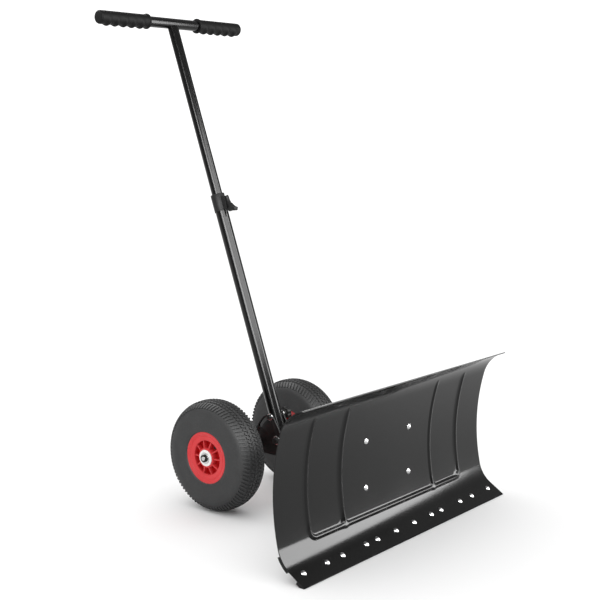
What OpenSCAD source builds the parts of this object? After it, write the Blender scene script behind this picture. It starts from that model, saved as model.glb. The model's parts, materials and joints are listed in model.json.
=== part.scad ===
// Wheeled snow shovel: a curved pusher blade on a two-wheeled frame, with a
// handle that tilts back in three notches and telescopes in length.
// +X is to the right seen from the front, the blade faces -Y, +Z is up.
// The parts are drawn about the wheel axle, then moved along Y as one, so
// that the origin lies on the ground under the middle of the whole shovel.

/* [Blade] */
// Width of the blade
blade_w = 737; // [600:1:900]
// Thickness of the blade's steel sheet
sheet_t = 2.2; // [1.5:0.1:3]
// How far the blade's toe stands in front of the axle
toe_reach = 450; // [420:1:500]
// Height of the blade's cut edge above the ground
edge_lift = 1; // [0.5:0.5:3]
// Slope of the flat toe of the blade
toe_angle = 32; // [28:1:36]
// Length of the flat toe
toe_l = 45; // [40:1:50]
// Radius of the bend above the toe
heel_r = 65; // [60:1:75]
// Slope of the blade where that bend ends
heel_end = 77; // [74.75:0.25:79.25]
// Radius of the tall back of the blade
wall_r = 445; // [400:5:500]
// Slope of the blade where its back ends
wall_end = 106; // [104:1:108]
// Radius of the curled top lip
lip_r = 76; // [70:1:80]
// Slope of the blade at the lip's edge
lip_end = 166; // [150:1:170]

/* [Pressed beads] */
// Width of a bead
bead_w = 13; // [10:1:16]
// How far a bead stands out of the sheet
bead_h = 4.5; // [3:0.5:6]
// Height of the long cross bead's middle
bead_low = 57; // [54:1:62]
// Height of the tops of the upright beads
bead_top = 308; // [280:1:312]
// Distance of the outer upright beads from the middle
bead_outer = 272; // [240:1:300]
// Distance of the inner upright beads from the middle
bead_inner = 162; // [130:1:200]

/* [Wear strip] */
// Thickness of the wear strip
strip_t = 6; // [4:0.5:8]
// Slope of the blade where the wear strip ends
strip_end = 63.5; // [59:4.5:68]
// Depth of the notch in each end of the strip
notch_d = 11; // [8:1:16]
// Where the notch starts, measured up the toe
notch_from = 23; // [20:1:26]
// Where the notch ends, measured up the toe
notch_to = 50; // [46:1:52]
// Where the row of bolts lies, measured up the toe
bolt_row = 33; // [30:1:36]

/* [Wheels] */
// Outer radius of a tyre
tyre_r = 127; // [115:1:135]
// Width of a tyre
tyre_w = 75.2; // [65:0.1:80]
// Distance of a wheel's middle from the shovel's middle
wheel_x = 139; // [130:1:150]
// Outer radius of the rim's flange
rim_r = 59.4; // [56:0.1:62]
// Number of ribs in each face of the rim
rim_ribs = 10; // [8:1:12]
// Radius of the axle rod
rod_r = 6; // [5:0.5:7]

/* [Frame] */
// Gap between the two side plates
yoke_gap = 32; // [32:0.5:34]
// Thickness of a side plate
plate_t = 4; // [3:0.5:5]
// Height of the push beam
beam_h = 30; // [25:1:32]
// Wall of the push beam
beam_wall = 2.5; // [2:0.5:4]

/* [Handle] */
// Lean of the handle behind the upright
lean = 19.7; // [15:0.1:25]
// How far the handle tilts back from there, in two equal notches
tilt = 40; // [30:1:40]
// Distance of the handle's pivot in front of the axle
pivot_fwd = 75.7; // [74:0.1:80]
// Height of the handle's pivot
pivot_z = 147.8; // [146:0.1:150]
// Distance of the lock bolt from the pivot
lock_s = 56; // [54:1:60]
// Radius of the lower tube
lower_r = 15; // [14.5:0.5:15.5]
// Radius of the upper tube and the crossbar
upper_r = 12.5; // [11.5:0.5:12.5]
// Wall of the tubes
tube_wall = 2; // [1.5:0.1:2.4]
// Top of the lower tube, measured from the pivot
lower_top = 585; // [500:1:650]
// Height of the crossbar's middle, measured from the pivot
bar_s = 1013; // [900:1:1100]
// Foot of the upper tube, measured from the pivot
upper_foot = 390; // [370:1:420]

/* [Grips] */
// Distance between the grips' outer ends
grip_span = 453; // [420:1:520]
// Length of a grip
grip_l = 146.5; // [120:0.5:170]
// Radius of a grip
grip_r = 15.5; // [14.5:0.5:17]
// Radius of a grip's inner flange
flange_r = 17.8; // [17:0.1:19]
// Distance between two finger ridges
finger_pitch = 25; // [22:1:28]

/* [Hidden] */
$fn = 96;

steel_black = "#26272a";
tyre_grey = "#3a3b3d";
rim_red = "#c8323a";
zinc = "#c9ccd0";
nylon = "#eeeae6";
plastic_black = "#1c1d1f";

// Running clearance of a shaft in its hole, and the gap of parts that pass
run_gap = 0.06;
side_gap = 0.3;
// How far a cutting shape reaches past what it cuts
over = 1;

// The blade's side outline: a flat toe, then three bends, one after another.
// Each place on it is [point, slope]; its sheet lies on the -normal side.
bend_step = 4.5;
toe = [-toe_reach, 0];
toe_end = toe + toe_l * along(toe_angle);
heel_c = toe_end + heel_r * across(toe_angle);
heel_pt = heel_c - heel_r * across(heel_end);
wall_c = heel_pt + wall_r * across(heel_end);
lead_in = 12;
blade_path = walk(
    toe - lead_in * along(toe_angle), toe_angle,
    [[0, toe_l + lead_in], [heel_r, heel_end], [wall_r, wall_end], [lip_r, lip_end]]
);
strip_path = walk(
    toe - lead_in * along(toe_angle), toe_angle,
    [[0, toe_l + lead_in], [heel_r, strip_end]]
);

// Bolts through the wear strip, as distances from the middle
strip_bolt_x = [33.7, 100.5, 139, 218, 268, 340];
strip_bolt_r = 3;
// Bolts through the blade and its plate
plate_bolt_x = 78;
plate_bolt_z = [111, 211];
plate_bolt_r = 4;
// The sheet is drawn in short flats, so a head on it stands this far clear
head_seat = 0.3;
blade_plate_x = 95;
blade_plate_z = [88, 234];

// The frame, all about the axle at [0, axle_z]
axle_z = tyre_r;
plate_x = yoke_gap / 2;
plate_out = plate_x + plate_t;
axle_tube_r = 12.5;
hub_half = 36.5;
washer_t = 1.6;
axle_tube_x = wheel_x - hub_half - washer_t - 2 * side_gap;
beam_low = 116;
beam_back = -103;
web_t = 4;
web_y = [-100, -22];
plate_front = -200;
plate_low = beam_low - web_t;
plate_shelf = 150;
boss_r = 18;
frame_bolt_y = [-130, -180];
frame_bolt_z = beam_low + beam_h / 2;
frame_bolt_r = 3;

// The handle, drawn upright about its pivot and then leaned back
pivot_r = 5;
lock_r = 4;
slot_half = lock_r + 0.35;
lobe_r = lock_r + 0.7;
slot_rim = lobe_r + 2.9;
tube_foot = -18;
bush_r = 8;
lock_washer_r = 8;
lock_washer_t = 2;
knob_r = 14;
knob_t = 19;
knob_x = plate_out + side_gap + lock_washer_t + side_gap;

// The clamp at the top of the lower tube
collar_r = 16.4;
collar_from = lower_top - 37;
collar_to = lower_top + 4;
house_x = 7.5;
house_front = -26;
house_top = lower_top - 5;
lever_half = 4.5;
lever_y = -22.4;
lever_z = house_top - 7;
lever_pin_r = 2;
lever_eye_r = 5.6;

// The grips and the crossbar
grip_inner = grip_span / 2 - grip_l;
bar_x = grip_span / 2 - 5;

// The whole shovel's reach in front of and behind the axle, and the move
// that puts the origin halfway between them
front_y = -toe_reach + edge_lift / tan(toe_angle);
bar_y = -pivot_fwd + bar_s * sin(lean);
back_y = bar_y + flange_r;
shift_y = -(front_y + back_y) / 2;

function along(a) = [cos(a), sin(a)];
function across(a) = [-sin(a), cos(a)];

// One straight run ([0, length]) or left-hand bend ([radius, end slope])
// after another, as a list of [point, slope]
function walk(p, a, moves) = concat([[p, a]], walk_on(p, a, moves, 0));
function walk_on(p, a, moves, i) =
    i == len(moves) ? [] :
    let (leg = moves[i][0] == 0 ? run(p, a, moves[i][1]) : bend(p, a, moves[i]))
    concat(leg, walk_on(leg[len(leg) - 1][0], leg[len(leg) - 1][1], moves, i + 1));
function run(p, a, l) = [[p + l * along(a), a]];
function bend(p, a, move) =
    let (c = p + move[0] * across(a), n = ceil((move[1] - a) / bend_step))
    [for (k = [1:n])
        let (b = a + (move[1] - a) * k / n) [c - move[0] * across(b), b]];

// A path moved sideways, towards the blade's front when d is positive
function beside(path, d) = [for (s = path) s[0] + d * across(s[1])];
function backwards(list) = [for (i = [len(list) - 1:-1:0]) list[i]];

// The slope and the point of the blade's back wall at a height
function wall_slope(z) = acos((wall_c[1] - z) / wall_r);
function wall_pt(z) = wall_c - wall_r * across(wall_slope(z));

module whole() {
    translate([0, shift_y, 0]) children();
}

// A Y-Z outline given width along X
module slab(x0, x1) {
    translate([x0, 0, 0]) rotate([90, 0, 90]) linear_extrude(x1 - x0) children();
}

// A layer of the blade between two distances from its front face
module layer(path, from, to, half_w) {
    slab(-half_w, half_w)
        polygon(concat(beside(path, from), backwards(beside(path, to))));
}

module above(z) {
    translate([-600, -600, z]) cube([1200, 1200, 600]);
}

// A place on the blade's front face, with +Z out of the face
module on_toe(x, s) {
    translate([x, toe[0] + s * cos(toe_angle), s * sin(toe_angle)])
        rotate([toe_angle, 0, 0]) children();
}

module on_wall(x, z) {
    translate([x, wall_pt(z)[0], wall_pt(z)[1]]) rotate([wall_slope(z), 0, 0]) children();
}

module at_strip_bolts() {
    for (side = [-1, 1], x = strip_bolt_x) on_toe(side * x, bolt_row) children();
}

module at_plate_bolts() {
    for (side = [-1, 1], z = plate_bolt_z) on_wall(side * plate_bolt_x, z) children();
}

// A cylinder along X
module bar(x0, x1, r) {
    translate([x0, 0, 0]) rotate([0, 90, 0]) cylinder(h = x1 - x0, r = r);
}

module at_axle() {
    translate([0, 0, axle_z]) children();
}

// The handle's own frame: the pivot at the origin and the tube along +Z
module leaned() {
    translate([0, -pivot_fwd, pivot_z]) rotate([-lean, 0, 0]) children();
}

// A wheel's own frame: its axis along +Z, which points outwards
module wheel(side) {
    translate([side * wheel_x, 0, axle_z]) rotate([0, side * 90, 0]) children();
}

// A round-headed bolt, with the head's underside at the origin
module dome_bolt(r, head_r, head_h, l) {
    ball_r = (head_r * head_r + head_h * head_h) / (2 * head_h);
    intersection() {
        translate([0, 0, head_h - ball_r]) sphere(r = ball_r);
        cylinder(h = head_h, r = head_r);
    }
    translate([0, 0, -l]) cylinder(h = l + 0.5, r = r);
}

// A hex nut that stands on the origin and reaches down
module nut(r, size, h) {
    translate([0, 0, -h]) difference() {
        cylinder(h = h, r = size, $fn = 6);
        translate([0, 0, -over]) cylinder(h = h + 2 * over, r = r);
    }
}

// Blade

// A stadium in X-Z, reaching through the blade along Y
module bead_mask(x0, x1, z0, z1) {
    r = bead_w / 2;
    translate([0, -toe_reach + 90, 0]) rotate([90, 0, 0]) linear_extrude(90) {
        if (x1 - x0 > z1 - z0) {
            translate([x0 + r, z0]) square([x1 - x0 - 2 * r, bead_w]);
            for (x = [x0 + r, x1 - r]) translate([x, z0 + r]) circle(r = r);
        } else {
            translate([x0, z0 + r]) square([bead_w, z1 - z0 - 2 * r]);
            for (z = [z0 + r, z1 - r]) translate([x0 + r, z]) circle(r = r);
        }
    }
}

module blade_beads() {
    half = bead_w / 2;
    intersection() {
        layer(blade_path, -sheet_t / 2, bead_h, bead_outer + bead_w);
        union() {
            bead_mask(-bead_outer - half, bead_outer + half, bead_low - half, bead_low + half);
            for (side = [-1, 1], x = [bead_inner, bead_outer])
                bead_mask(side * x - half, side * x + half, bead_low - half, bead_top);
        }
    }
}

module blade() {
    color(steel_black) whole() difference() {
        union() {
            layer(blade_path, -sheet_t, 0, blade_w / 2);
            blade_beads();
        }
        translate([0, 0, edge_lift]) mirror([0, 0, 1]) above(0);
        at_strip_bolts() cylinder(h = 20, r = strip_bolt_r, center = true);
        at_plate_bolts() cylinder(h = 20, r = plate_bolt_r, center = true);
    }
}

module wear_strip() {
    color(steel_black) whole() difference() {
        intersection() {
            layer(strip_path, -sheet_t - strip_t, -sheet_t, blade_w / 2);
            above(0);
        }
        at_strip_bolts() cylinder(h = 40, r = strip_bolt_r, center = true);
        for (side = [-1, 1]) on_toe(side * blade_w / 2, notch_from)
            translate([-notch_d, 0, -20]) cube([2 * notch_d, notch_to - notch_from, 40]);
    }
}

module wear_bolts() {
    color(zinc) whole() at_strip_bolts() dome_bolt(strip_bolt_r, 6.5, 3, 16);
}

module wear_nuts() {
    color(zinc) whole() at_strip_bolts()
        translate([0, 0, -sheet_t - strip_t]) nut(strip_bolt_r, 5.8, 5);
}

module blade_plate() {
    back = -sheet_t - plate_t;
    color(steel_black) whole() difference() {
        intersection() {
            layer(blade_path, back, -sheet_t, blade_plate_x);
            translate([0, 0, blade_plate_z[0]]) above(0);
            mirror([0, 0, 1]) above(-blade_plate_z[1]);
        }
        at_plate_bolts() cylinder(h = 40, r = plate_bolt_r, center = true);
    }
}

module blade_bolts() {
    color(zinc) whole() at_plate_bolts()
        translate([0, 0, head_seat]) dome_bolt(plate_bolt_r, 6.8, 3.2, 16);
}

module blade_nuts() {
    color(zinc) whole() at_plate_bolts()
        translate([0, 0, -sheet_t - plate_t]) nut(plate_bolt_r, 7.5, 6.5);
}

// Frame

// Everything in front of the blade plate's back face
module blade_space() {
    layer(blade_path, -sheet_t - plate_t, heel_r - 5, blade_w / 2);
}

module push_beam() {
    color(steel_black) whole() difference() {
        translate([-plate_x, wall_pt(beam_low)[0] - 20, beam_low])
            cube([yoke_gap, beam_back - wall_pt(beam_low)[0] + 20, beam_h]);
        translate([-plate_x + beam_wall, -toe_reach - over, beam_low + beam_wall])
            cube([yoke_gap - 2 * beam_wall, toe_reach, beam_h - 2 * beam_wall]);
        blade_space();
        for (y = frame_bolt_y) translate([0, y, frame_bolt_z])
            bar(-plate_x - over, plate_x + over, frame_bolt_r);
    }
}

module gusset(side) {
    x = side * (plate_x - plate_t / 2);
    top = beam_low + beam_h;
    color(steel_black) whole() difference() {
        slab(x - plate_t / 2, x + plate_t / 2) polygon([
            [wall_pt(top)[0] - 10, top], [wall_pt(top)[0] + 85, top],
            [wall_pt(top)[0] + 22, top + 72], [wall_pt(top)[0] - 10, top + 72]
        ]);
        blade_space();
    }
}

module left_gusset() {
    gusset(-1);
}

module right_gusset() {
    gusset(1);
}

// The slot that the lock bolt runs in, about the pivot: two notches and rest
module slot_shape() {
    first = 90 - lean;
    last = first - tilt;
    intersection() {
        difference() {
            circle(r = lock_s + slot_half);
            circle(r = lock_s - slot_half);
        }
        polygon([[0, 0], 120 * along(last), 120 * along(first)]);
    }
    for (a = [last, first - tilt / 2, first]) translate(lock_s * along(a)) circle(r = lobe_r);
}

// The outline runs round the axle, over the slot's rim and the lock bolt's
// cap, and forward along the beam
module side_plate_shape() {
    axle = [0, axle_z];
    pivot = [-pivot_fwd, pivot_z];
    lock = pivot + lock_s * along(90 - lean);
    first = 90 - lean;
    difference() {
        polygon(concat(
            [[plate_front, plate_low]],
            [for (a = [-56:19:39]) axle + boss_r * along(a)],
            [for (k = [-1:10]) pivot + (lock_s + slot_rim) * along(first - tilt * (1 - k / 10))],
            [for (a = [first + 20:20:first + 80]) lock + slot_rim * along(a)],
            [[-98, plate_shelf], [plate_front, plate_shelf]]
        ));
        translate(axle) circle(r = axle_tube_r);
        translate(pivot) circle(r = pivot_r);
        translate(pivot) slot_shape();
        for (y = frame_bolt_y) translate([y, frame_bolt_z]) circle(r = frame_bolt_r);
    }
}

module side_plate(side) {
    x = side * (plate_x + plate_t / 2);
    color(steel_black) whole() slab(x - plate_t / 2, x + plate_t / 2) side_plate_shape();
}

module left_side_plate() {
    side_plate(-1);
}

module right_side_plate() {
    side_plate(1);
}

module bottom_web() {
    color(steel_black) whole() translate([-plate_x, web_y[0], plate_low])
        cube([yoke_gap, web_y[1] - web_y[0], web_t]);
}

// A hex bolt along +X from its head, and the nut for its far end
module cross_bolt(r, size, head_h) {
    rotate([0, 90, 0]) {
        translate([0, 0, -plate_out - head_h]) cylinder(h = head_h, r = size, $fn = 6);
        translate([0, 0, -plate_out]) cylinder(h = 2 * plate_out + 1.6 * r + 1.5, r = r);
    }
}

module cross_nut(r, size) {
    translate([plate_out + 1.6 * r, 0, 0]) rotate([0, 90, 0]) nut(r, size, 1.6 * r);
}

module frame_bolts() {
    color(zinc) whole() for (y = frame_bolt_y)
        translate([0, y, frame_bolt_z]) cross_bolt(frame_bolt_r, 5.5, 4);
}

module frame_nuts() {
    color(zinc) whole() for (y = frame_bolt_y)
        translate([0, y, frame_bolt_z]) cross_nut(frame_bolt_r, 5.5);
}

module axle_tube() {
    color(steel_black) whole() at_axle() difference() {
        bar(-axle_tube_x, axle_tube_x, axle_tube_r);
        bar(-axle_tube_x - over, axle_tube_x + over, rod_r);
    }
}

// The axle rod steps down at each end to carry its nut
nut_from = wheel_x + hub_half + side_gap + washer_t;
rod_end_r = 4.8;
rod_end = nut_from + 5.5;

module axle_rod() {
    color(zinc) whole() at_axle() {
        bar(-nut_from, nut_from, rod_r);
        bar(-rod_end, rod_end, rod_end_r);
    }
}

module axle_washers() {
    color(zinc) whole() at_axle() for (side = [-1, 1], x = [axle_tube_x, nut_from - washer_t])
        mirror([side < 0 ? 1 : 0, 0, 0]) difference() {
            bar(x, x + washer_t, 12.5);
            bar(x - over, x + washer_t + over, rod_r);
        }
}

module axle_nuts() {
    color(plastic_black) whole() at_axle() for (side = [-1, 1])
        mirror([side < 0 ? 1 : 0, 0, 0]) difference() {
            bar(nut_from, nut_from + 4.5, 8.5);
            bar(nut_from - over, nut_from + 4.5 + over, rod_end_r);
        }
}

// Wheels

// A tyre's half section from the rim out, as [radius, distance from the middle]
tyre_half = tyre_w / 2;
seat_r = rim_r - 3.4;
crown_drop = 2.4;
shoulder_r = 15;
bead_seat = tyre_half - 4.6;

// The sidewall bulges on one long arc and turns over the shoulder
function tyre_side() = [
    [seat_r, bead_seat], [rim_r, bead_seat], [rim_r + 1.2, bead_seat + 0.6],
    for (a = [-48:8:44]) let (c = [rim_r + 30, tyre_half - 42]) c + 42 * [sin(a), cos(a)]
];
function tyre_shoulder() = [
    for (a = [30:10:80])
        [tyre_r - crown_drop - shoulder_r, tyre_half - 7 - shoulder_r]
            + shoulder_r * [sin(a), cos(a)]
];
function tyre_tread() = [[tyre_r - 0.6, 12], [tyre_r, 5]];
function mirrored(list) = [for (p = backwards(list)) [p[0], -p[1]]];

module tyre() {
    half = concat(tyre_side(), tyre_shoulder(), tyre_tread());
    rotate_extrude() polygon(concat(half, mirrored(half)));
}

module left_tyre() {
    color(tyre_grey) whole() wheel(-1) tyre();
}

module right_tyre() {
    color(tyre_grey) whole() wheel(1) tyre();
}

// A rim is one turned wall: hub, middle web, well and two dished flanges,
// with ribs across the pockets of both faces and one opening for the valve
well_r = 39;
hub_r = 22;
hub_bore_r = 13;
flange_u = tyre_half - 2.6;
dish_u = tyre_half - 7;
hub_u = tyre_half - 3.6;
web_half = 19;

module rim() {
    difference() {
        union() {
            rotate_extrude() polygon([
                [hub_bore_r, -hub_u], [hub_r, -hub_u], [hub_r, -web_half],
                [well_r, -web_half], [well_r, -dish_u], [well_r + 9.5, -dish_u - 1.6],
                [well_r + 10.5, -dish_u - 1], [well_r + 12, -dish_u - 2.2], [rim_r - 3, -flange_u],
                [rim_r, -flange_u + 0.8], [rim_r, -bead_seat], [seat_r, -bead_seat],
                [seat_r, bead_seat], [rim_r, bead_seat], [rim_r, flange_u - 0.8],
                [rim_r - 3, flange_u], [well_r + 12, dish_u + 2.2], [well_r + 10.5, dish_u + 1],
                [well_r + 9.5, dish_u + 1.6], [well_r, dish_u], [well_r, web_half],
                [hub_r, web_half], [hub_r, hub_u], [hub_bore_r, hub_u]
            ]);
            for (i = [0:rim_ribs - 1]) rotate(360 * (i + 0.5) / rim_ribs)
                translate([0, 1.3, 0]) rotate([90, 0, 0]) linear_extrude(2.6) polygon([
                    [hub_r - over, -hub_u + 1], [well_r + over, -dish_u + 1.5],
                    [well_r + over, dish_u - 1.5], [hub_r - over, hub_u - 1]
                ]);
        }
        rotate(-360 / rim_ribs) translate([(hub_r + well_r) / 2, 0, 0])
            cylinder(h = 3 * web_half, r = 4.5, center = true);
    }
}

module left_rim() {
    color(rim_red) whole() wheel(-1) rim();
}

module right_rim() {
    color(rim_red) whole() wheel(1) rim();
}

// A nylon hub bush fills the rim's bore and stands out as a collar each side
module hub_bush() {
    difference() {
        union() {
            cylinder(h = 2 * hub_u + 1, r = hub_bore_r, center = true);
            for (side = [0, 1]) mirror([0, 0, side])
                translate([0, 0, hub_u]) cylinder(h = hub_half - hub_u, r = 18.5);
        }
        cylinder(h = 3 * hub_half, r = rod_r + run_gap, center = true);
    }
}

module left_hub_bush() {
    color(nylon) whole() wheel(-1) hub_bush();
}

module right_hub_bush() {
    color(nylon) whole() wheel(1) hub_bush();
}

// Handle

module pivot_bolt() {
    color(zinc) whole() translate([0, -pivot_fwd, pivot_z]) cross_bolt(pivot_r, 8.5, 6.4);
}

module pivot_nut() {
    color(zinc) whole() translate([0, -pivot_fwd, pivot_z]) cross_nut(pivot_r, 8.5);
}

module lower_tube() {
    color(steel_black) whole() leaned() difference() {
        translate([0, 0, tube_foot]) cylinder(h = lower_top - tube_foot, r = lower_r);
        translate([0, 0, tube_foot - over])
            cylinder(h = lower_top - tube_foot + 2 * over, r = lower_r - tube_wall);
        bar(-lower_r - over, lower_r + over, bush_r);
        translate([0, 0, lock_s]) bar(-lower_r - over, lower_r + over, lock_r);
    }
}

module pivot_bush() {
    x = plate_x - side_gap;
    color(steel_black) whole() leaned() difference() {
        bar(-x, x, bush_r);
        bar(-x - over, x + over, pivot_r + run_gap);
    }
}

module lock_bolt() {
    x = plate_out + side_gap + lock_washer_t;
    color(plastic_black) whole() leaned() translate([0, 0, lock_s]) {
        bar(-x, knob_x + knob_t - 4, lock_r);
        bar(-x - 5, -x, 5.6);
    }
}

module lock_washers() {
    x = plate_out + side_gap;
    color(zinc) whole() leaned() translate([0, 0, lock_s]) for (side = [0, 1])
        mirror([side, 0, 0]) difference() {
            bar(x, x + lock_washer_t, lock_washer_r);
            bar(x - over, x + lock_washer_t + over, lock_r);
        }
}

module lock_knob() {
    color(plastic_black) whole() leaned() translate([0, 0, lock_s]) difference() {
        union() {
            bar(knob_x, knob_x + 6, 9);
            bar(knob_x + 6, knob_x + knob_t, knob_r);
        }
        bar(knob_x - over, knob_x + knob_t - 3.5, lock_r + run_gap);
        for (i = [0:4]) rotate([72 * i + 36, 0, 0]) translate([0, 0, knob_r + 3.2])
            bar(knob_x + 5, knob_x + knob_t + over, 5.5);
    }
}

module clamp_collar() {
    color(plastic_black) whole() leaned() difference() {
        union() {
            translate([0, 0, collar_from])
                cylinder(h = collar_to - collar_from, r = collar_r);
            translate([-house_x, house_front, collar_from + 1])
                cube([2 * house_x, -house_front, house_top - collar_from - 1]);
        }
        translate([0, 0, collar_from - over]) cylinder(h = lower_top - collar_from + over, r = lower_r);
        translate([0, 0, lower_top - over]) cylinder(h = 20, r = upper_r + run_gap);
        // The lever's slot, and a shallow recess in each cheek
        translate([-lever_half - side_gap, house_front - over, collar_from])
            cube([2 * (lever_half + side_gap), -house_front + over - collar_r, 60]);
        for (side = [-1, 1]) translate([side * house_x - 0.8, house_front + 3.5, lever_z - 19])
            cube([1.6, 7.5, 22]);
        translate([0, lever_y, lever_z]) bar(-house_x - over, house_x + over, lever_pin_r);
    }
}

module lever_pin() {
    color(zinc) whole() leaned() translate([0, lever_y, lever_z])
        bar(-house_x - 1, house_x + 1, lever_pin_r);
}

// The lever's side outline about its pin: an arm down the housing's front
// that flares out to a tip, cut back by one round hollow on its outer side
module lever_shape() {
    difference() {
        polygon([
            [2, 5], [-6.5, 5], [-26, -28], [-21, -36],
            [-12, -32], [-4, -33], [3, -20], [4.5, -3]
        ]);
        translate([-41, 0]) circle(r = 33.2);
    }
}

module cam_lever() {
    pad_x = 6.5;
    color(plastic_black) whole() leaned() translate([0, lever_y, lever_z]) difference() {
        union() {
            bar(-lever_half, lever_half, lever_eye_r);
            slab(-lever_half, lever_half) lever_shape();
            intersection() {
                slab(-pad_x, pad_x) lever_shape();
                translate([-pad_x, -60, -60]) cube([2 * pad_x, 49, 54]);
            }
        }
        bar(-pad_x - over, pad_x + over, lever_pin_r + run_gap);
    }
}

module upper_tube() {
    color(steel_black) whole() leaned() difference() {
        translate([0, 0, upper_foot]) cylinder(h = bar_s - upper_foot, r = upper_r);
        translate([0, 0, upper_foot - over])
            cylinder(h = bar_s - upper_foot, r = upper_r - tube_wall);
        translate([0, 0, bar_s]) bar(-2 * upper_r, 2 * upper_r, upper_r);
    }
}

// A plug in the upper tube's foot, whose head guides it in the lower tube
module guide_plug() {
    color(plastic_black) whole() leaned() {
        translate([0, 0, upper_foot - 12])
            cylinder(h = 12, r = lower_r - tube_wall - run_gap);
        translate([0, 0, upper_foot]) cylinder(h = 15, r = upper_r - tube_wall);
    }
}

module crossbar() {
    color(steel_black) whole() leaned() translate([0, 0, bar_s]) difference() {
        bar(-bar_x, bar_x, upper_r);
        bar(-bar_x - over, bar_x + over, upper_r - tube_wall);
    }
}

// A grip along +X: a flange, a sleeve with finger ridges under it, a round end
module grip() {
    end_r = 3.5;
    outer = grip_span / 2;
    finger_r = 9;
    finger_drop = grip_r + 4 - finger_r;
    translate([0, 0, bar_s]) difference() {
        union() {
            bar(grip_inner, grip_inner + 4, flange_r);
            bar(grip_inner, outer - end_r, grip_r);
            bar(grip_inner, outer, grip_r - end_r);
            translate([outer - end_r, 0, 0]) rotate([0, 90, 0])
                rotate_extrude() translate([grip_r - end_r, 0]) circle(r = end_r);
            for (i = [0:4]) translate([grip_inner + 24 + finger_pitch * i, 0, -finger_drop])
                sphere(r = finger_r);
        }
        bar(grip_inner - over, bar_x, upper_r);
    }
}

module left_grip() {
    color(plastic_black) whole() leaned() mirror([1, 0, 0]) grip();
}

module right_grip() {
    color(plastic_black) whole() leaned() grip();
}

blade();
wear_strip();
wear_bolts();
wear_nuts();
blade_plate();
blade_bolts();
blade_nuts();
push_beam();
left_gusset();
right_gusset();
left_side_plate();
right_side_plate();
bottom_web();
frame_bolts();
frame_nuts();
axle_tube();
axle_rod();
axle_washers();
axle_nuts();
left_tyre();
left_rim();
left_hub_bush();
right_tyre();
right_rim();
right_hub_bush();
pivot_bolt();
pivot_nut();
lower_tube();
pivot_bush();
lock_bolt();
lock_washers();
lock_knob();
clamp_collar();
lever_pin();
cam_lever();
upper_tube();
guide_plug();
crossbar();
left_grip();
right_grip();
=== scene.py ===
# %% [markdown]
# # A wheeled snow shovel, finished piece by piece
# The mechanical model is loaded first and never moved. Every piece made here is
# placed from it, in metres: the ground is z = 0, the blade faces -Y, and +X is to
# the right seen from the front.

# %% Load the frame
import json
import math
import bpy
import bmesh
import numpy as np
from mathutils import Matrix, Vector


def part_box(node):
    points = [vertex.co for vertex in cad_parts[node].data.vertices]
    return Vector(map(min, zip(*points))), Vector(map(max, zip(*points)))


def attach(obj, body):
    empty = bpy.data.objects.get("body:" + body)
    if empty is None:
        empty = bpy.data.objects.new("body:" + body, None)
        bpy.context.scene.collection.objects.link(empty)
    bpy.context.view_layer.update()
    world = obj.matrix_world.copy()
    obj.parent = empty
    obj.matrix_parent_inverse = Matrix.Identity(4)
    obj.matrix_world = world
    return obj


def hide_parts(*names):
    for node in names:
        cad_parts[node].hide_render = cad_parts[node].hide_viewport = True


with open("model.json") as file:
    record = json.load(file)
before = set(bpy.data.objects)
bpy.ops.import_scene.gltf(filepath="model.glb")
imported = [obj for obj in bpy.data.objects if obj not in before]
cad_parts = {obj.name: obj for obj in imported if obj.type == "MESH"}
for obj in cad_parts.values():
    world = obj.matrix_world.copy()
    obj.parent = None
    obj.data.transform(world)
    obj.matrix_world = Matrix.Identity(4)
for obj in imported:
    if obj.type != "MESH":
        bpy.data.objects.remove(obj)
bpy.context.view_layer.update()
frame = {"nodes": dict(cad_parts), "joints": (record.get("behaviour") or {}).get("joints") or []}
JOINTS = {joint["name"]: joint for joint in frame["joints"]}
MM = 0.001

# %% [markdown]
# The camera comes first, so that every later look is judged from the same place. It
# stands to the left of the blade's front, a little above the wheels, and looks down
# at a shallow angle through a long lens, which keeps the tall handle straight.

# %% Camera
CAMERA_PLACE = Vector((-1.944, -1.6674, 0.8549))
CAMERA_HEADING = math.radians(50.19)
CAMERA_DIP = math.radians(8.5)
camera_data = bpy.data.cameras.new("camera")
camera_data.lens = 68.7
camera_data.sensor_width = 36
camera = bpy.data.objects.new("camera", camera_data)
camera.location = CAMERA_PLACE
camera.rotation_euler = (math.pi / 2 - CAMERA_DIP, 0, -CAMERA_HEADING)
bpy.context.scene.collection.objects.link(camera)
bpy.context.scene.camera = camera
print("the lens is", round(camera_data.lens, 1), "mm long")

# %% [markdown]
# Places that many pieces share are read from the frame: the wheels' joints give the
# axle, the tilt joint gives the handle's pivot, and the sliding joint's axis gives
# the handle's lean. A handle piece is drawn upright about the pivot and a wheel
# piece about its own axis, and one matrix then puts each in its place.

# %% Shared places
PIVOT = Vector(JOINTS["handle_tilt"]["pos_m"])
UP_TUBE = -Vector(JOINTS["handle_length"]["axis"])
LEAN = math.atan2(UP_TUBE.y, UP_TUBE.z)
HANDLE = Matrix.Translation(PIVOT) @ Matrix.Rotation(-LEAN, 4, "X")
AXLE = Vector(JOINTS["left_wheel_spin"]["pos_m"])
AXLE.x = 0
WHEEL_X = JOINTS["right_wheel_spin"]["pos_m"][0]


def wheel_place(side):
    """Turns a wheel drawn about Z, with its outer face up, into its place."""
    turn = Matrix.Rotation(side * math.pi / 2, 4, "Y")
    return Matrix.Translation((side * WHEEL_X, AXLE.y, AXLE.z)) @ turn


print("handle leans back", round(math.degrees(LEAN), 2), "degrees")

# %% [markdown]
# ## Finishes
# A finish is a small network of nodes. Writing it as sums keeps it readable: one
# class wraps a socket so that `0.4 + 0.1 * grain` adds the Math nodes by itself, and
# one method makes every other node.


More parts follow.
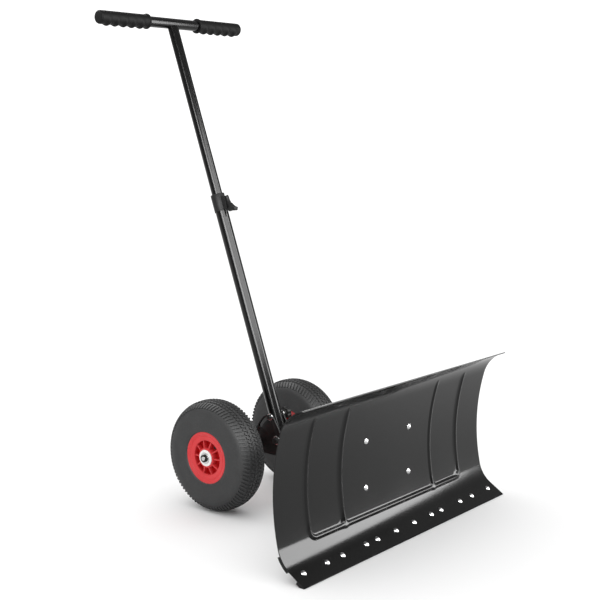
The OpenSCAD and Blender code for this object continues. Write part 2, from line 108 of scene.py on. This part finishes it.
# %% Sockets that can be used in sums
class Socket:
    def __init__(self, finish, socket):
        self.finish = finish
        self.socket = socket

    def math(self, operation, first, second):
        terms = {0: first, 1: second}
        return self.finish.node("ShaderNodeMath", {"operation": operation}, terms)

    def __add__(self, other):
        return self.math("ADD", self, other)

    def __sub__(self, other):
        return self.math("SUBTRACT", self, other)

    def __rsub__(self, other):
        return self.math("SUBTRACT", other, self)

    def __mul__(self, other):
        return self.math("MULTIPLY", self, other)

    def __abs__(self):
        return self.math("ABSOLUTE", self, 0)

    __radd__ = __add__
    __rmul__ = __mul__


# %% Finishes and their nodes
class Finish:
    def __init__(self, name):
        self.material = bpy.data.materials.new(name)
        self.material.use_nodes = True
        self.tree = self.material.node_tree
        self.tree.nodes.clear()
        self.place = self.node("ShaderNodeTexCoord", output="Object")

    def node(self, kind, settings=None, sockets=None, output=0):
        made = self.tree.nodes.new(kind)
        for name, value in (settings or {}).items():
            if name == "stops":
                for stop, (at, colour) in zip(made.color_ramp.elements, value):
                    stop.position = at
                    stop.color = colour
            else:
                setattr(made, name, value)
        for name, value in (sockets or {}).items():
            if isinstance(value, Socket):
                self.tree.links.new(value.socket, made.inputs[name])
            else:
                made.inputs[name].default_value = value
        return Socket(self, made.outputs[output]) if made.outputs else None

    def noise(self, scale, detail):
        sockets = {"Vector": self.place, "Scale": scale, "Detail": detail}
        return self.node("ShaderNodeTexNoise", sockets=sockets)

    def blend(self, amount, dark, light):
        sockets = {0: amount, 6: dark, 7: light}
        return self.node("ShaderNodeMix", {"data_type": "RGBA"}, sockets, output=2)

    def ramp(self, value, low, high):
        stops = [(low, (0, 0, 0, 1)), (high, (1, 1, 1, 1))]
        return self.node("ShaderNodeValToRGB", {"stops": stops}, {0: value})

    def bump(self, height, depth, strength):
        sockets = {"Height": height, "Distance": depth, "Strength": strength}
        return self.node("ShaderNodeBump", sockets=sockets)

    def surface(self, **sockets):
        named = {name.replace("_", " "): value for name, value in sockets.items()}
        shader = self.node("ShaderNodeBsdfPrincipled", sockets=named)
        self.node("ShaderNodeOutputMaterial", sockets={"Surface": shader})
        return self.material


def grey(value, warm=0.0):
    """A grey, a little redder where warm is above 0 and bluer where it is below."""
    return (value * (1 + warm), value, value * (1 - warm), 1)


# %% [markdown]
# Powder coat is sprayed on dry and melted in an oven, so it levels out into a smooth
# skin with a faint orange peel. Its gloss varies a little from place to place, and a
# few specks of dust sit on it. The peel is a bump about a millimetre across.


# %% Powder coat
def powder_coat(name, base, gloss):
    finish = Finish(name)
    peel = finish.noise(900, 1)
    cloud = finish.noise(9, 3)
    speck = finish.ramp(finish.noise(2600, 0), 0.70, 0.78)
    colour = finish.blend(cloud, grey(base * 0.85), grey(base * 1.15))
    dusted = finish.blend(speck * 0.35, colour, grey(base * 2.2))
    rough = gloss + 0.10 * (cloud - 0.5) + 0.10 * speck
    return finish.surface(
        Base_Color=dusted, Roughness=rough, Specular_IOR_Level=0.22,
        Normal=finish.bump(peel, 0.00004, 0.5),
    )


# %% [markdown]
# The tyres are matt foam: dark, dry and faintly mottled, with fine pores and a
# lighter bloom of dust. The knob, the clamp and the hub bushes are moulded plastic:
# the tone flows a little from place to place, and a fine grain copied from the mould
# breaks up the gloss.


# %% Tyre foam and moulded plastic
def foam(name):
    finish = Finish(name)
    mottle = finish.noise(38, 4)
    pores = finish.noise(1500, 2)
    dust = finish.ramp(finish.noise(260, 3), 0.52, 0.75)
    colour = finish.blend(mottle, grey(0.020, -0.02), grey(0.034, -0.02))
    bloom = finish.blend(dust * 0.22, colour, grey(0.07, 0.03))
    return finish.surface(
        Base_Color=bloom, Roughness=0.50 + 0.14 * pores, Specular_IOR_Level=0.35,
        Normal=finish.bump(pores + 0.6 * mottle, 0.00012, 0.6),
    )


def moulded(name, dark, light, gloss, grain=700, depth=0.00003, level=0.5):
    finish = Finish(name)
    flow = finish.noise(24, 3)
    texture = finish.noise(grain, 2)
    return finish.surface(
        Base_Color=finish.blend(flow, dark, light),
        Roughness=gloss + 0.12 * (flow - 0.5) + 0.08 * (texture - 0.5),
        Specular_IOR_Level=level,
        Normal=finish.bump(texture, depth, 0.7),
    )


# %% [markdown]
# A moulded rim has deep pockets between its ribs. Light that reaches the bottom of a
# pocket has bounced from red walls, and this is painted into the colour as painted
# shade: a deeper, purer red that follows how far a point lies from the wheel's middle
# plane. The face keeps the rim's own red, made a little pinker as a painted sheen.

# %% Rim plastic
POCKET_FLOOR, RIM_FACE = 20 * MM, 31 * MM


def rim_plastic(name):
    finish = Finish(name)
    flow = finish.noise(24, 3)
    texture = finish.noise(700, 2)
    across = finish.node("ShaderNodeSeparateXYZ", sockets={"Vector": finish.place})
    # mask for the painted shade: 0 at the pockets' floor, 1 at the rim's face
    pocket_shade_mask = finish.ramp(abs(abs(across) - WHEEL_X), POCKET_FLOOR, RIM_FACE)
    # painted shade: the deeper, purer red of the pockets stands in for bounced light
    painted_pocket_shade = finish.blend(flow, (0.44, 0.001, 0.002, 1), (0.52, 0.001, 0.003, 1))
    # the rim's own red, with green and blue raised a little as a painted sheen
    face = finish.blend(flow, (0.54, 0.034, 0.038, 1), (0.66, 0.046, 0.052, 1))
    return finish.surface(
        Base_Color=finish.blend(pocket_shade_mask, painted_pocket_shade, face),
        Roughness=0.36 + 0.12 * (flow - 0.5) + 0.08 * (texture - 0.5),
        Specular_IOR_Level=0.22, Normal=finish.bump(texture, 0.00003, 0.7),
    )


# %% [markdown]
# Zinc plate is bright but not a mirror: a fine crystal grain breaks the reflection
# up, and the tone drifts slightly. The grips are matt rubber with a close leathery
# grain.


# %% Zinc plate and grip rubber
def zinc_plate(name):
    finish = Finish(name)
    grain = finish.noise(1800, 2)
    drift = finish.noise(120, 2)
    return finish.surface(
        Base_Color=finish.blend(drift, grey(0.46, 0.01), grey(0.62, -0.01)),
        Metallic=1.0, Roughness=0.20 + 0.16 * grain,
        Normal=finish.bump(grain, 0.00002, 0.5),
    )


def grip_rubber(name):
    finish = Finish(name)
    cells = finish.node("ShaderNodeTexVoronoi", sockets={"Vector": finish.place, "Scale": 650})
    tone = finish.noise(60, 3)
    return finish.surface(
        Base_Color=finish.blend(tone, grey(0.004), grey(0.008)),
        Roughness=0.50 + 0.12 * tone, Specular_IOR_Level=0.10,
        Normal=finish.bump(cells, 0.00015, 0.6),
    )


COAT = powder_coat("powder_coat", 0.005, 0.15)
PLATE_COAT = powder_coat("plate_coat", 0.008, 0.38)
TYRE = foam("tyre_foam")
RED = rim_plastic("rim_red")
NYLON = moulded("nylon", grey(0.74, 0.01), grey(0.84, 0.01), 0.40)
BLACK = moulded("moulded_black", grey(0.006), grey(0.011), 0.48, 900, 0.00006, 0.22)
ZINC = zinc_plate("zinc_plate")
RUBBER = grip_rubber("grip_rubber")
print(len(bpy.data.materials), "finishes")

# %% [markdown]
# ## From a bmesh to a piece
# Every piece ends the same way: its mesh is written, its soft faces are shaded
# smooth and its hard edges kept, it is told which body it moves with and given the
# finish it wears, and the nodes of the mechanical model that it stands for are hidden.

# %% Finishing a piece
SHARP = math.radians(34)


def piece(bm, name, body, nodes, material, closed=True):
    """Makes an object of a bmesh. A copy of a node already faces outwards."""
    if closed:
        bmesh.ops.recalc_face_normals(bm, faces=bm.faces)
    mesh = bpy.data.meshes.new(name)
    bm.to_mesh(mesh)
    bm.free()
    mesh.shade_smooth()
    mesh.set_sharp_from_angle(angle=SHARP)
    made = bpy.data.objects.new(name, mesh)
    bpy.context.scene.collection.objects.link(made)
    mesh.materials.append(material)
    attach(made, body)
    if nodes:
        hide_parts(*nodes)
    return made


def ring_edges(bm, places):
    """A closed chain of edges through the given (x, y, z) places."""
    verts = [bm.verts.new(p) for p in places]
    edges = [bm.edges.new((a, b)) for a, b in zip(verts, verts[1:] + verts[:1])]
    return verts, edges


def turned(outline, steps):
    """A ring-shaped solid: a closed outline of (radius, height) spun about Z."""
    bm = bmesh.new()
    verts, edges = ring_edges(bm, [(r, 0, z) for r, z in outline])
    bmesh.ops.spin(
        bm, geom=verts + edges, cent=(0, 0, 0), axis=(0, 0, 1),
        angle=math.tau, steps=steps, use_merge=True,
    )
    bmesh.ops.remove_doubles(bm, verts=bm.verts, dist=1e-6)
    return bm


# %% [markdown]
# ## Softened hardware
# Brackets, nuts, bolts, rims and mouldings already have the right shape in the
# mechanical model, but a real edge is never perfectly sharp: it is deburred, coating
# gathers on it, and a mould rounds it. A copy of the node is merged, its flat faces
# are joined up again, and each hard edge gets a narrow bevel that catches the light.


# %% Softening a copy of a node
FLAT = math.radians(2)
HARD = math.radians(33)


def softened(node, body, material, width):
    bm = bmesh.new()
    bm.from_mesh(frame["nodes"][node].data)
    bmesh.ops.remove_doubles(bm, verts=bm.verts, dist=2e-6)
    bmesh.ops.dissolve_limit(
        bm, angle_limit=FLAT, verts=bm.verts, edges=bm.edges, delimit={"NORMAL"},
    )
    edges = [e for e in bm.edges if e.is_manifold and e.calc_face_angle(0) > HARD]
    bmesh.ops.bevel(
        bm, geom=edges, offset=width, offset_type="OFFSET", affect="EDGES",
        segments=2, profile=0.5, material=-1, clamp_overlap=True,
    )
    bmesh.ops.triangulate(bm, faces=[f for f in bm.faces if len(f.verts) > 4])
    piece(bm, node + "_piece", body, [node], material, closed=False)


# %% The softened pieces
STEEL, PLASTIC = "black_steel", "black_plastic"
HARDWARE = [
    ("base", STEEL, COAT, {"wear_strip": 0.5}),
    ("base", STEEL, PLATE_COAT, {
        "blade_plate": 0.5, "push_beam": 1.0, "left_gusset": 0.5, "right_gusset": 0.5,
        "left_side_plate": 0.5, "right_side_plate": 0.5, "bottom_web": 0.5, "axle_tube": 0.4,
    }),
    ("base", "zinc", ZINC, {
        "wear_bolts": 0.3, "wear_nuts": 0.3, "blade_bolts": 0.3, "blade_nuts": 0.4,
        "frame_bolts": 0.4, "frame_nuts": 0.4, "axle_rod": 0.5, "axle_washers": 0.25,
    }),
    ("base", PLASTIC, BLACK, {"axle_nuts": 0.5}),
    ("base", "zinc", BLACK, {"pivot_bolt": 0.8}),
    ("base", "zinc", ZINC, {"pivot_nut": 0.4}),
    ("handle", STEEL, COAT, {"pivot_bush": 0.3}),
    ("handle", STEEL, BLACK, {"lock_bolt": 0.5}),
    ("handle", "zinc", ZINC, {"lock_washers": 0.25}),
    ("handle", "zinc", BLACK, {"lever_pin": 0.3}),
    ("handle", PLASTIC, BLACK, {"clamp_collar": 0.8}),
    ("knob", PLASTIC, BLACK, {"lock_knob": 1.2}),
    ("lever", PLASTIC, BLACK, {"cam_lever": 0.9}),
    ("upper_handle", PLASTIC, BLACK, {"guide_plug": 0.4}),
    ("left_wheel", "rim", RED, {"left_rim": 0.7}),
    ("right_wheel", "rim", RED, {"right_rim": 0.7}),
    ("left_wheel", "nylon", NYLON, {"left_hub_bush": 0.7}),
    ("right_wheel", "nylon", NYLON, {"right_hub_bush": 0.7}),
]
for body, slot, material, bevels in HARDWARE:
    for node, width in bevels.items():
        softened(node, body, material, width * MM)
print(sum(len(row[-1]) for row in HARDWARE), "hardware pieces")

# %% [markdown]
# A long tube shows every flaw of its shading in its highlight, so the three tubes
# are spun afresh: a ring close to each rounded end keeps the long faces true. The
# upper tube is cut flat just inside the crossbar, and its end is closed. A washer
# ring of bare zinc shows round the head of the pivot bolt.


# %% Tubes
WIDE_TUBE, NARROW_TUBE = (15 * MM, 13 * MM), (12.5 * MM, 10.5 * MM)
UPPER_FROM, UPPER_STOP = 390 * MM, 10 * MM
LOWER_FROM, LOWER_TO = -18 * MM, 585 * MM
PINHOLE = 0.3 * MM


def tube(node, body, low, high, size, place, capped=False):
    (radius, bore), soft, ring = size, 0.5 * MM, 3 * MM
    half = [(bore, 0), (radius - soft, 0), (radius, soft), (radius, ring)]
    outline = [(r, low + t) for r, t in half] + [(r, high - t) for r, t in reversed(half)]
    if capped:
        under = high - radius + bore
        outline[-1:] = [(PINHOLE, high), (PINHOLE, under), (bore, under)]
    bm = turned(outline, 96)
    bm.transform(HANDLE @ place)
    piece(bm, node + "_piece", body, [node], COAT)


BAR_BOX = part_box("crossbar")
BAR_S = ((BAR_BOX[0] + BAR_BOX[1]) / 2 - PIVOT).dot(UP_TUBE)
SIDEWAYS = Matrix.Translation((0, 0, BAR_S)) @ Matrix.Rotation(math.pi / 2, 4, "Y")
tube("lower_tube", "handle", LOWER_FROM, LOWER_TO, WIDE_TUBE, Matrix())
tube(
    "upper_tube", "upper_handle", UPPER_FROM, BAR_S - UPPER_STOP, NARROW_TUBE, Matrix(),
    capped=True,
)
tube("crossbar", "upper_handle", BAR_BOX[0].x, BAR_BOX[1].x, NARROW_TUBE, SIDEWAYS)
print("the crossbar is", round(BAR_S / MM), "mm above the pivot")

# %% Ring on the pivot bolt
RING_IN, RING_OUT, RING_H, HEAD_H = 5.2 * MM, 10 * MM, 1.2 * MM, 6.4 * MM
ring = turned([
    (RING_IN, 0), (RING_OUT, 0), (RING_OUT + 0.4 * MM, 0.4 * MM), (RING_OUT, RING_H),
    (RING_IN, RING_H),
], 48)
ring_place = Vector((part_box("pivot_bolt")[0].x + HEAD_H, PIVOT.y, PIVOT.z))
ring.transform(Matrix.Translation(ring_place) @ Matrix.Rotation(-math.pi / 2, 4, "Y"))
piece(ring, "pivot_ring", "base", [], ZINC)
print("the ring is", round(2 * RING_OUT / MM), "mm across")

# %% [markdown]
# ## The blade
# The real blade is one steel sheet, pressed between two dies so that long beads
# stiffen it, and rolled to its curve. Here a flat grid is bent the same way: each
# row of the grid goes to its place along the side profile, and each point is pushed
# out of the sheet by the bead nearest to it. Rows and columns crowd together where
# a bead passes and spread out between. The sheet is then given its thickness and its
# toe is cut level with the ground.

# %% The blade's side profile
BLADE_LOW, BLADE_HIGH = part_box("blade")
BLADE_W = BLADE_HIGH.x - BLADE_LOW.x
SHEET = 2.2 * MM
TOE_ANGLE = math.radians(32)
EDGE_LIFT = BLADE_LOW.z
BENDS = [(0.065, 77), (0.445, 106), (0.076, 166)]
TOE = Vector((BLADE_LOW.y - EDGE_LIFT / math.tan(TOE_ANGLE), 0))
TOE_RUN = 45 * MM
STEP = 1.5 * MM


def profile():
    """Distance along the profile, y, z and slope, from the ground to the lip."""
    along = Vector((math.cos(TOE_ANGLE), math.sin(TOE_ANGLE)))
    rows = [(s, *(TOE + s * along), TOE_ANGLE) for s in np.arange(0, TOE_RUN, STEP).tolist()]
    start, slope, gone = TOE + TOE_RUN * along, TOE_ANGLE, TOE_RUN
    for radius, last in BENDS:
        centre = start + radius * Vector((-math.sin(slope), math.cos(slope)))
        turn = math.radians(last) - slope
        for k in range(int(radius * turn / STEP) + 1):
            a = slope + k * STEP / radius
            at = centre - radius * Vector((-math.sin(a), math.cos(a)))
            rows.append((gone + k * STEP, at.x, at.y, a))
        gone += radius * turn
        slope += turn
        start = centre - radius * Vector((-math.sin(slope), math.cos(slope)))
    rows.append((gone, start.x, start.y, slope))
    return np.array(rows)


PROFILE = profile()
BLADE_RISE = float(PROFILE[-1, 0])
print("the sheet is", round(BLADE_RISE / MM), "mm from toe to lip")

# %% Where the beads run
BEAD_W, BEAD_H = 13 * MM, 4.3 * MM
BEAD_SLOPE, HIGH_SHARE = BEAD_W * 0.45, 0.62
BEAD_X = [162 * MM, 272 * MM]
FADE = 30 * MM


def along_at(height):
    return float(np.interp(height, PROFILE[:, 2], PROFILE[:, 0]))


BEAD_LOW, BEAD_TOP = along_at(57 * MM), along_at(300 * MM)
FLARE, CORNER = 9 * MM, 16 * MM


def bead_push(x, s):
    """How far the sheet stands out at a place: one U-shaped bead and two inner ones."""
    out = abs(x) - (BEAD_X[-1] - CORNER)
    under = BEAD_LOW + CORNER - s
    past = max(s - BEAD_TOP, 0)
    ring = min(max(out, under), 0) + math.hypot(max(out, 0), max(under, 0)) - CORNER
    gap = math.hypot(ring, past)
    upright = math.hypot(abs(x) - BEAD_X[0], max(BEAD_LOW - s, past))
    mix = max(FLARE - abs(gap - upright), 0) / FLARE
    gap = min(gap, upright) - mix * mix * FLARE / 4
    side = min(max((BEAD_W / 2 - gap) / BEAD_SLOPE, 0), 1)
    fade = min(max((BEAD_TOP + BEAD_W / 2 - s) / FADE, 0), 1)
    low = min(max((BEAD_LOW + FADE - s) / FADE, 0), 1)
    height = BEAD_H * (HIGH_SHARE + (1 - HIGH_SHARE) * low)
    return height * side * side * (3 - 2 * side) * fade * (2 - fade)


def crowded(low, high, middles, fine, coarse, reach):
    """Places from low to high, close together near the middles."""
    places = [low]
    while places[-1] < high:
        near = min(abs(places[-1] - m) for m in middles) < reach
        places.append(places[-1] + (fine if near else coarse))
    places[-1] = high
    return places


BEAD_MIDDLES = [side * x for x in BEAD_X for side in (-1, 1)]
CROWD = 14 * MM
COLUMNS = crowded(-BLADE_W / 2, BLADE_W / 2, BEAD_MIDDLES, 1.1 * MM, 9 * MM, CROWD)
FIRST_ROW = EDGE_LIFT / math.sin(TOE_ANGLE)
ROWS = crowded(FIRST_ROW, BLADE_RISE, [BEAD_LOW, BEAD_TOP], 1.3 * MM, 4.5 * MM, CROWD)
print("the grid has", len(COLUMNS), "columns and", len(ROWS), "rows")


# %% The bent sheet
def bent_sheet():
    bm = bmesh.new()
    wide, tall = len(COLUMNS) - 1, len(ROWS) - 1
    bmesh.ops.create_grid(bm, x_segments=wide, y_segments=tall, size=0.5)
    for v in bm.verts:
        x = COLUMNS[round((v.co.x + 0.5) * wide)]
        s = ROWS[round((v.co.y + 0.5) * tall)]
        y, z, a = (float(np.interp(s, PROFILE[:, 0], PROFILE[:, k])) for k in (1, 2, 3))
        push = bead_push(x, s)
        v.co = (x, y - push * math.sin(a), z + push * math.cos(a))
    bmesh.ops.recalc_face_normals(bm, faces=bm.faces)
    return bm


blade_bm = bent_sheet()
front = sum(f.normal.y for f in blade_bm.faces) < 0
bmesh.ops.solidify(blade_bm, geom=blade_bm.faces, thickness=SHEET if front else -SHEET)
bmesh.ops.bisect_plane(
    blade_bm, geom=blade_bm.verts[:] + blade_bm.edges[:] + blade_bm.faces[:],
    plane_co=(0, 0, EDGE_LIFT), plane_no=(0, 0, 1), clear_inner=True,
)
bmesh.ops.holes_fill(blade_bm, edges=[e for e in blade_bm.edges if e.is_boundary])
blade = piece(blade_bm, "blade_sheet", "base", ["blade"], COAT)

# The lip's cut edge is duller than the faces, because coat draws back from it.
LIP = 4 * MM
blade.data.materials.append(BLACK)
for face in blade.data.polygons:
    if face.normal.y < -0.8 and face.center.z > BLADE_HIGH.z - LIP:
        face.material_index = 1
print("blade:", len(blade.data.polygons), "faces")

# %% [markdown]
# ## The tyres
# A foam tyre is moulded in one piece: a round carcass, slanted lugs over both
# shoulders, and rows of small blocks round the crown. The carcass is one outline
# spun about the axle. Each lug is a little grid that is given height, and its points
# are laid on the carcass by their angle round the wheel and round the section.

# %% The tyre's section
TYRE_LOW, TYRE_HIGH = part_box("left_tyre")
TYRE_R = (TYRE_HIGH.z - TYRE_LOW.z) / 2
TYRE_HALF = (TYRE_HIGH.x - TYRE_LOW.x) / 2
RIM_R = 59.4 * MM
LUG_H = 2.4 * MM
SECTION_R = 93 * MM
ROUND_OUT, ROUND_IN = 2.5, 8.0


def section(angle):
    """(radius, distance from the middle) at an angle from the crown."""
    c, s = math.cos(angle), math.sin(angle)
    if c >= 0:
        size, power = TYRE_R - LUG_H - SECTION_R, ROUND_OUT
    else:
        size, power = SECTION_R - RIM_R + 4 * MM, ROUND_IN
    stretch = (abs(c) ** power + abs(s) ** power) ** (-1 / power)
    return SECTION_R + size * c * stretch, TYRE_HALF * s * stretch


def on_section(angle, height):
    """(radius, distance from the middle) of a point at a height above the carcass."""
    r0, u0 = section(angle - 0.01)
    r1, u1 = section(angle + 0.01)
    out = Vector((u1 - u0, r0 - r1)).normalized()
    r, u = section(angle)
    return r + out.x * height, u + out.y * height


def carcass():
    reach = math.radians(158)
    angles = [reach - 2 * reach * k / 60 for k in range(61)]
    outline = [section(a) for a in angles]
    seat = RIM_R - 3 * MM
    return turned([(seat, outline[0][1])] + outline + [(seat, outline[-1][1])], 120)


# %% Lugs and blocks
LUGS = 84
LUG_ENDS, LUG_W, LUG_SLANT = (31, 57), 5.6 * MM, 0.052
BLOCK_ROWS, BLOCK_HALF, BLOCK_W, BLOCK_SLANT = (8, 21), 4.6, 6.2 * MM, -0.022
LUG_TAPER = 0.72
LUG_ROOT = -1.2 * MM


def add_lug(bm, turn, low, high, width, slant, rows, height):
    """One lug: a grid from one section angle to another, pulled up from the carcass."""
    grid = bmesh.ops.create_grid(bm, x_segments=1, y_segments=rows, size=0.5)["verts"]
    faces = list({f for v in grid for f in v.link_faces})
    top = bmesh.ops.extrude_face_region(bm, geom=faces)["geom"]
    raised = {v for v in top if isinstance(v, bmesh.types.BMVert)}
    for v in set(grid) | raised:
        across, up = v.co.x, v.co.y + 0.5
        lift, ends, reach = (height, LUG_TAPER, 0.9) if v in raised else (LUG_ROOT, 1.0, 1.0)
        angle = low + (high - low) * (0.5 + (up - 0.5) * reach)
        r, u = on_section(angle, lift)
        theta = turn + slant * (up - 0.5) + across * width * ends / r
        v.co = (r * math.cos(theta), r * math.sin(theta), u)


def tread():
    bm = bmesh.new()
    pitch = math.tau / LUGS
    for k in range(LUGS):
        turn = k * pitch
        for side in (-1, 1):
            start = turn + pitch * (0.25 * side)
            low, high = (math.radians(a) * side for a in LUG_ENDS)
            add_lug(bm, start, low, high, LUG_W, LUG_SLANT, 4, LUG_H * 0.93)
            for row, middle in enumerate(BLOCK_ROWS):
                ends = (middle - BLOCK_HALF, middle + BLOCK_HALF)
                low, high = (math.radians(a) * side for a in ends)
                shift = pitch * (0.5 * row + 0.25 * side)
                slant = BLOCK_SLANT * (-1) ** row
                add_lug(bm, turn + shift, low, high, BLOCK_W, slant, 1, LUG_H * 0.97)
    return bm


# %% [markdown]
# Each rim has a hole for a valve, and the shade inside it is painted: a short black
# stem stands in the hole. The stem is an outline spun about its own axis and laid
# beside the axle. The left and right rims are the same part turned round, so one stem
# is above the axle and the other below it.


# %% Black stem as painted shade in the valve hole
STEM_R, STEM_H = 4 * MM, 12 * MM
STEM_OUT, STEM_BACK, STEM_UP = 12 * MM, -17.9 * MM, 24.7 * MM


def hole_shade_stem(side):
    stem = turned([
        (PINHOLE, 0), (STEM_R, 0), (STEM_R + 0.2 * MM, STEM_H - MM),
        (STEM_R - 0.6 * MM, STEM_H), (PINHOLE, STEM_H),
    ], 32)
    middle = AXLE + Vector((side * WHEEL_X, 0, 0))
    place = middle + Vector((side * STEM_OUT, STEM_BACK, -side * STEM_UP))
    stem.transform(Matrix.Translation(place) @ Matrix.Rotation(side * math.pi / 2, 4, "Y"))
    return stem


# %% What turns with each wheel
SIDES = ((-1, "left"), (1, "right"))
for side, word in SIDES:
    body = word + "_wheel"
    for bm, part, nodes in ((carcass(), "tyre", [word + "_tyre"]), (tread(), "tread", [])):
        bm.transform(wheel_place(side))
        piece(bm, f"{word}_{part}", body, nodes, TYRE)
    # a black stem in each valve hole: painted shade in place of the dark inside the hole
    piece(hole_shade_stem(side), word + "_valve", body, [], BLACK)
print("each tread has", LUGS * 6, "lugs and blocks")

# %% [markdown]
# ## The grips
# Each grip is a rubber sleeve with a flange at its inner end, a rounded outer end
# and five finger ridges on its underside. It is spun as a plain sleeve with close
# rows, and then the ridges are pulled out of the lower half only.

# %% Grips
GRIP_LOW, GRIP_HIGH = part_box("right_grip")
GRIP_IN, GRIP_OUT = GRIP_LOW.x, GRIP_HIGH.x
GRIP_R, GRIP_FLANGE, GRIP_BORE = 15.5 * MM, 17.75 * MM, 12.5 * MM
FINGERS, FINGER_PITCH, FINGER_H, FINGER_W = 5, 25 * MM, 3.6 * MM, 7.5 * MM
FIRST_FINGER = GRIP_IN + 24 * MM


def grip_outline():
    row, bend = 1.5 * MM, 4.5 * MM
    rows = int((GRIP_OUT - GRIP_IN - 10 * MM) / row)
    sleeve = [(GRIP_R, GRIP_IN + 6 * MM + row * k) for k in range(rows)]
    end = [
        (GRIP_R - bend * (1 - math.cos(a)), GRIP_OUT - bend * (1 - math.sin(a)))
        for a in (math.radians(d) for d in range(0, 91, 15))
    ]
    flange = [
        (GRIP_BORE, GRIP_IN), (GRIP_FLANGE - MM, GRIP_IN), (GRIP_FLANGE, GRIP_IN + MM),
        (GRIP_FLANGE, GRIP_IN + 3.4 * MM), (GRIP_FLANGE - 0.8 * MM, GRIP_IN + 4.2 * MM),
        (GRIP_R + 0.3 * MM, GRIP_IN + 4.6 * MM),
    ]
    tip, wall = 0.4 * MM, 5 * MM
    inside = [(tip, GRIP_OUT), (tip, GRIP_OUT - wall), (GRIP_BORE, GRIP_OUT - wall)]
    return flange + sleeve + end + inside


def grip(side):
    bm = turned(grip_outline(), 72)
    for v in bm.verts:
        r = math.hypot(v.co.x, v.co.y)
        if r > GRIP_BORE + MM and v.co.z > GRIP_IN + 8 * MM:
            place = v.co.z - FIRST_FINGER
            nearest = min(abs(place - k * FINGER_PITCH) for k in range(FINGERS))
            ridge = max(math.cos(min(nearest / FINGER_W, 1) * math.pi / 2), 0) ** 1.3
            under = max(v.co.x / r, 0) ** 1.5
            v.co.x += FINGER_H * ridge * under * v.co.x / r
            v.co.y += FINGER_H * ridge * under * v.co.y / r
    bm.transform(Matrix.Rotation(math.pi / 2, 4, "Y"))
    if side < 0:
        bm.transform(Matrix.Rotation(math.pi, 4, "Z"))
    bm.transform(HANDLE @ Matrix.Translation((0, 0, BAR_S)))
    return bm


for side, word in SIDES:
    name, nodes = word + "_grip_sleeve", [word + "_grip"]
    piece(grip(side), name, "upper_handle", nodes, RUBBER)
print("each grip is", round((GRIP_OUT - GRIP_IN) / MM), "mm long")

# %% [markdown]
# ## Studio
# A pale floor and a pale world surround the shovel, as in a light tent. Black coat
# shows only what it reflects, so the shapes of the lamps matter more than their
# strength. The tent looks darker in a reflection than it lights the floor, so that
# the coat stays black, and the softboxes light nothing by themselves: they are only
# seen in the gloss, where they draw the bright band along the bend of the blade and
# the thin lines down the tubes.

# %% Floor
FLOOR_HALF = 30
floor_bm = bmesh.new()
bmesh.ops.create_grid(floor_bm, x_segments=1, y_segments=1, size=FLOOR_HALF)
floor_mesh = bpy.data.meshes.new("floor")
floor_bm.to_mesh(floor_mesh)
floor_bm.free()
floor = bpy.data.objects.new("floor", floor_mesh)
bpy.context.scene.collection.objects.link(floor)
floor_finish = Finish("floor_paper")
floor_mesh.materials.append(
    floor_finish.surface(Base_Color=grey(0.90), Roughness=0.9, Specular_IOR_Level=0.0)
)
print("the floor is", 2 * FLOOR_HALF, "m wide")

# %% World
TENT_LIGHT, TENT_REFLECTED = 1.3, 0.38
world = bpy.data.worlds.new("studio")
world.use_nodes = True
backdrop = world.node_tree.nodes["Background"]
backdrop.inputs["Color"].default_value = (1, 1, 1, 1)
shine = world.node_tree.nodes.new("ShaderNodeLightPath")
tent = world.node_tree.nodes.new("ShaderNodeMapRange")
tent.inputs["To Min"].default_value = TENT_LIGHT
tent.inputs["To Max"].default_value = TENT_REFLECTED
world.node_tree.links.new(shine.outputs["Is Glossy Ray"], tent.inputs["Value"])
world.node_tree.links.new(tent.outputs["Result"], backdrop.inputs["Strength"])
bpy.context.scene.world = world
print("the tent's light is", TENT_LIGHT, "and", TENT_REFLECTED, "in reflections")


# %% Softboxes
def softbox(name, place, target, size, radiance):
    data = bpy.data.lights.new(name, "AREA")
    data.shape = "RECTANGLE"
    data.size, data.size_y = size
    data.energy = radiance * math.pi * size[0] * size[1]
    lamp = bpy.data.objects.new(name, data)
    lamp.location = place
    lamp.visible_diffuse = False
    lamp.rotation_euler = (Vector(target) - Vector(place)).to_track_quat("-Z", "Y").to_euler()
    bpy.context.scene.collection.objects.link(lamp)


SOFTBOXES = (
    ("side_box", (1.43, -1.75, 1.12), (0, -1.75, 1.12), (1.3, 2.05), 15),
    ("key_box", (-2.45, -1.3, 1.50), (0, -1.3, 1.50), (1.5, 1.4), 22),
    ("back_box", (-0.2, 1.6, 2.1), (-0.1, 0.1, 0.2), (2.4, 1.0), 9),
    ("front_box", (-0.65, -2.05, 1.80), (-0.65, 0, 1.80), (3.1, 1.2), 12),
)
for name, place, aim, size, radiance in SOFTBOXES:
    softbox(name, place, aim, size, radiance)
bpy.context.scene.view_settings.view_transform = "Standard"
print(len(SOFTBOXES), "softboxes")
